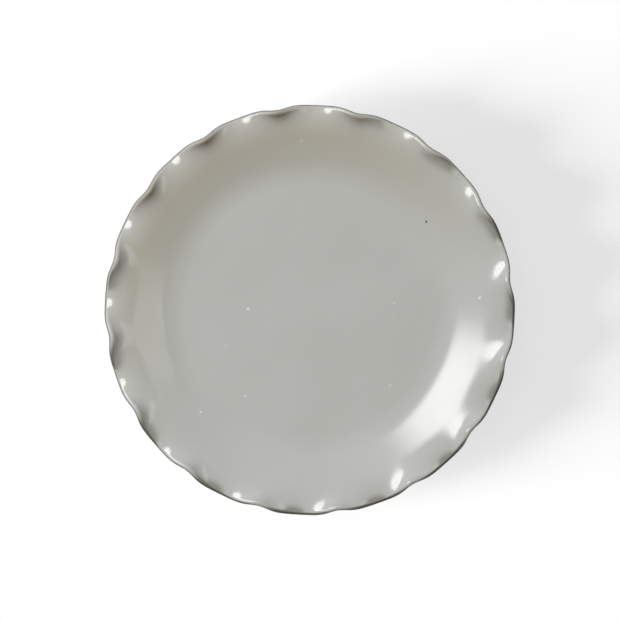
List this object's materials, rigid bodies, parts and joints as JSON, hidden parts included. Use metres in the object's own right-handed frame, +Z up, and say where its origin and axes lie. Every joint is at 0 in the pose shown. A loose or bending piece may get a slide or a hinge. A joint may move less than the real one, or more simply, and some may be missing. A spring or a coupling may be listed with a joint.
{
  "type": "scalloped dessert plate",
  "caption": "Round shallow dessert plate in grey glazed stoneware, with a flat well, a ruffled scalloped rim and a bare clay foot ring.",
  "frame": {"origin": "centre of the plate, on the plane that the foot ring stands on", "axes": "+Z up out of the well, +X through the middle of a lobe of the rim"},
  "size_m": [0.205, 0.205, 0.0186],
  "materials": {
    "bare_clay": "unglazed, matt, fine grain",
    "grey_glaze": "glossy warm grey glaze, faintly mottled"
  },
  "bodies": {
    "root": {"clay_body": "bare_clay", "foot_ring": "bare_clay", "face_glaze": "grey_glaze", "back_glaze": "grey_glaze", "foot_well_glaze": "grey_glaze"}
  },
  "joints": []
}
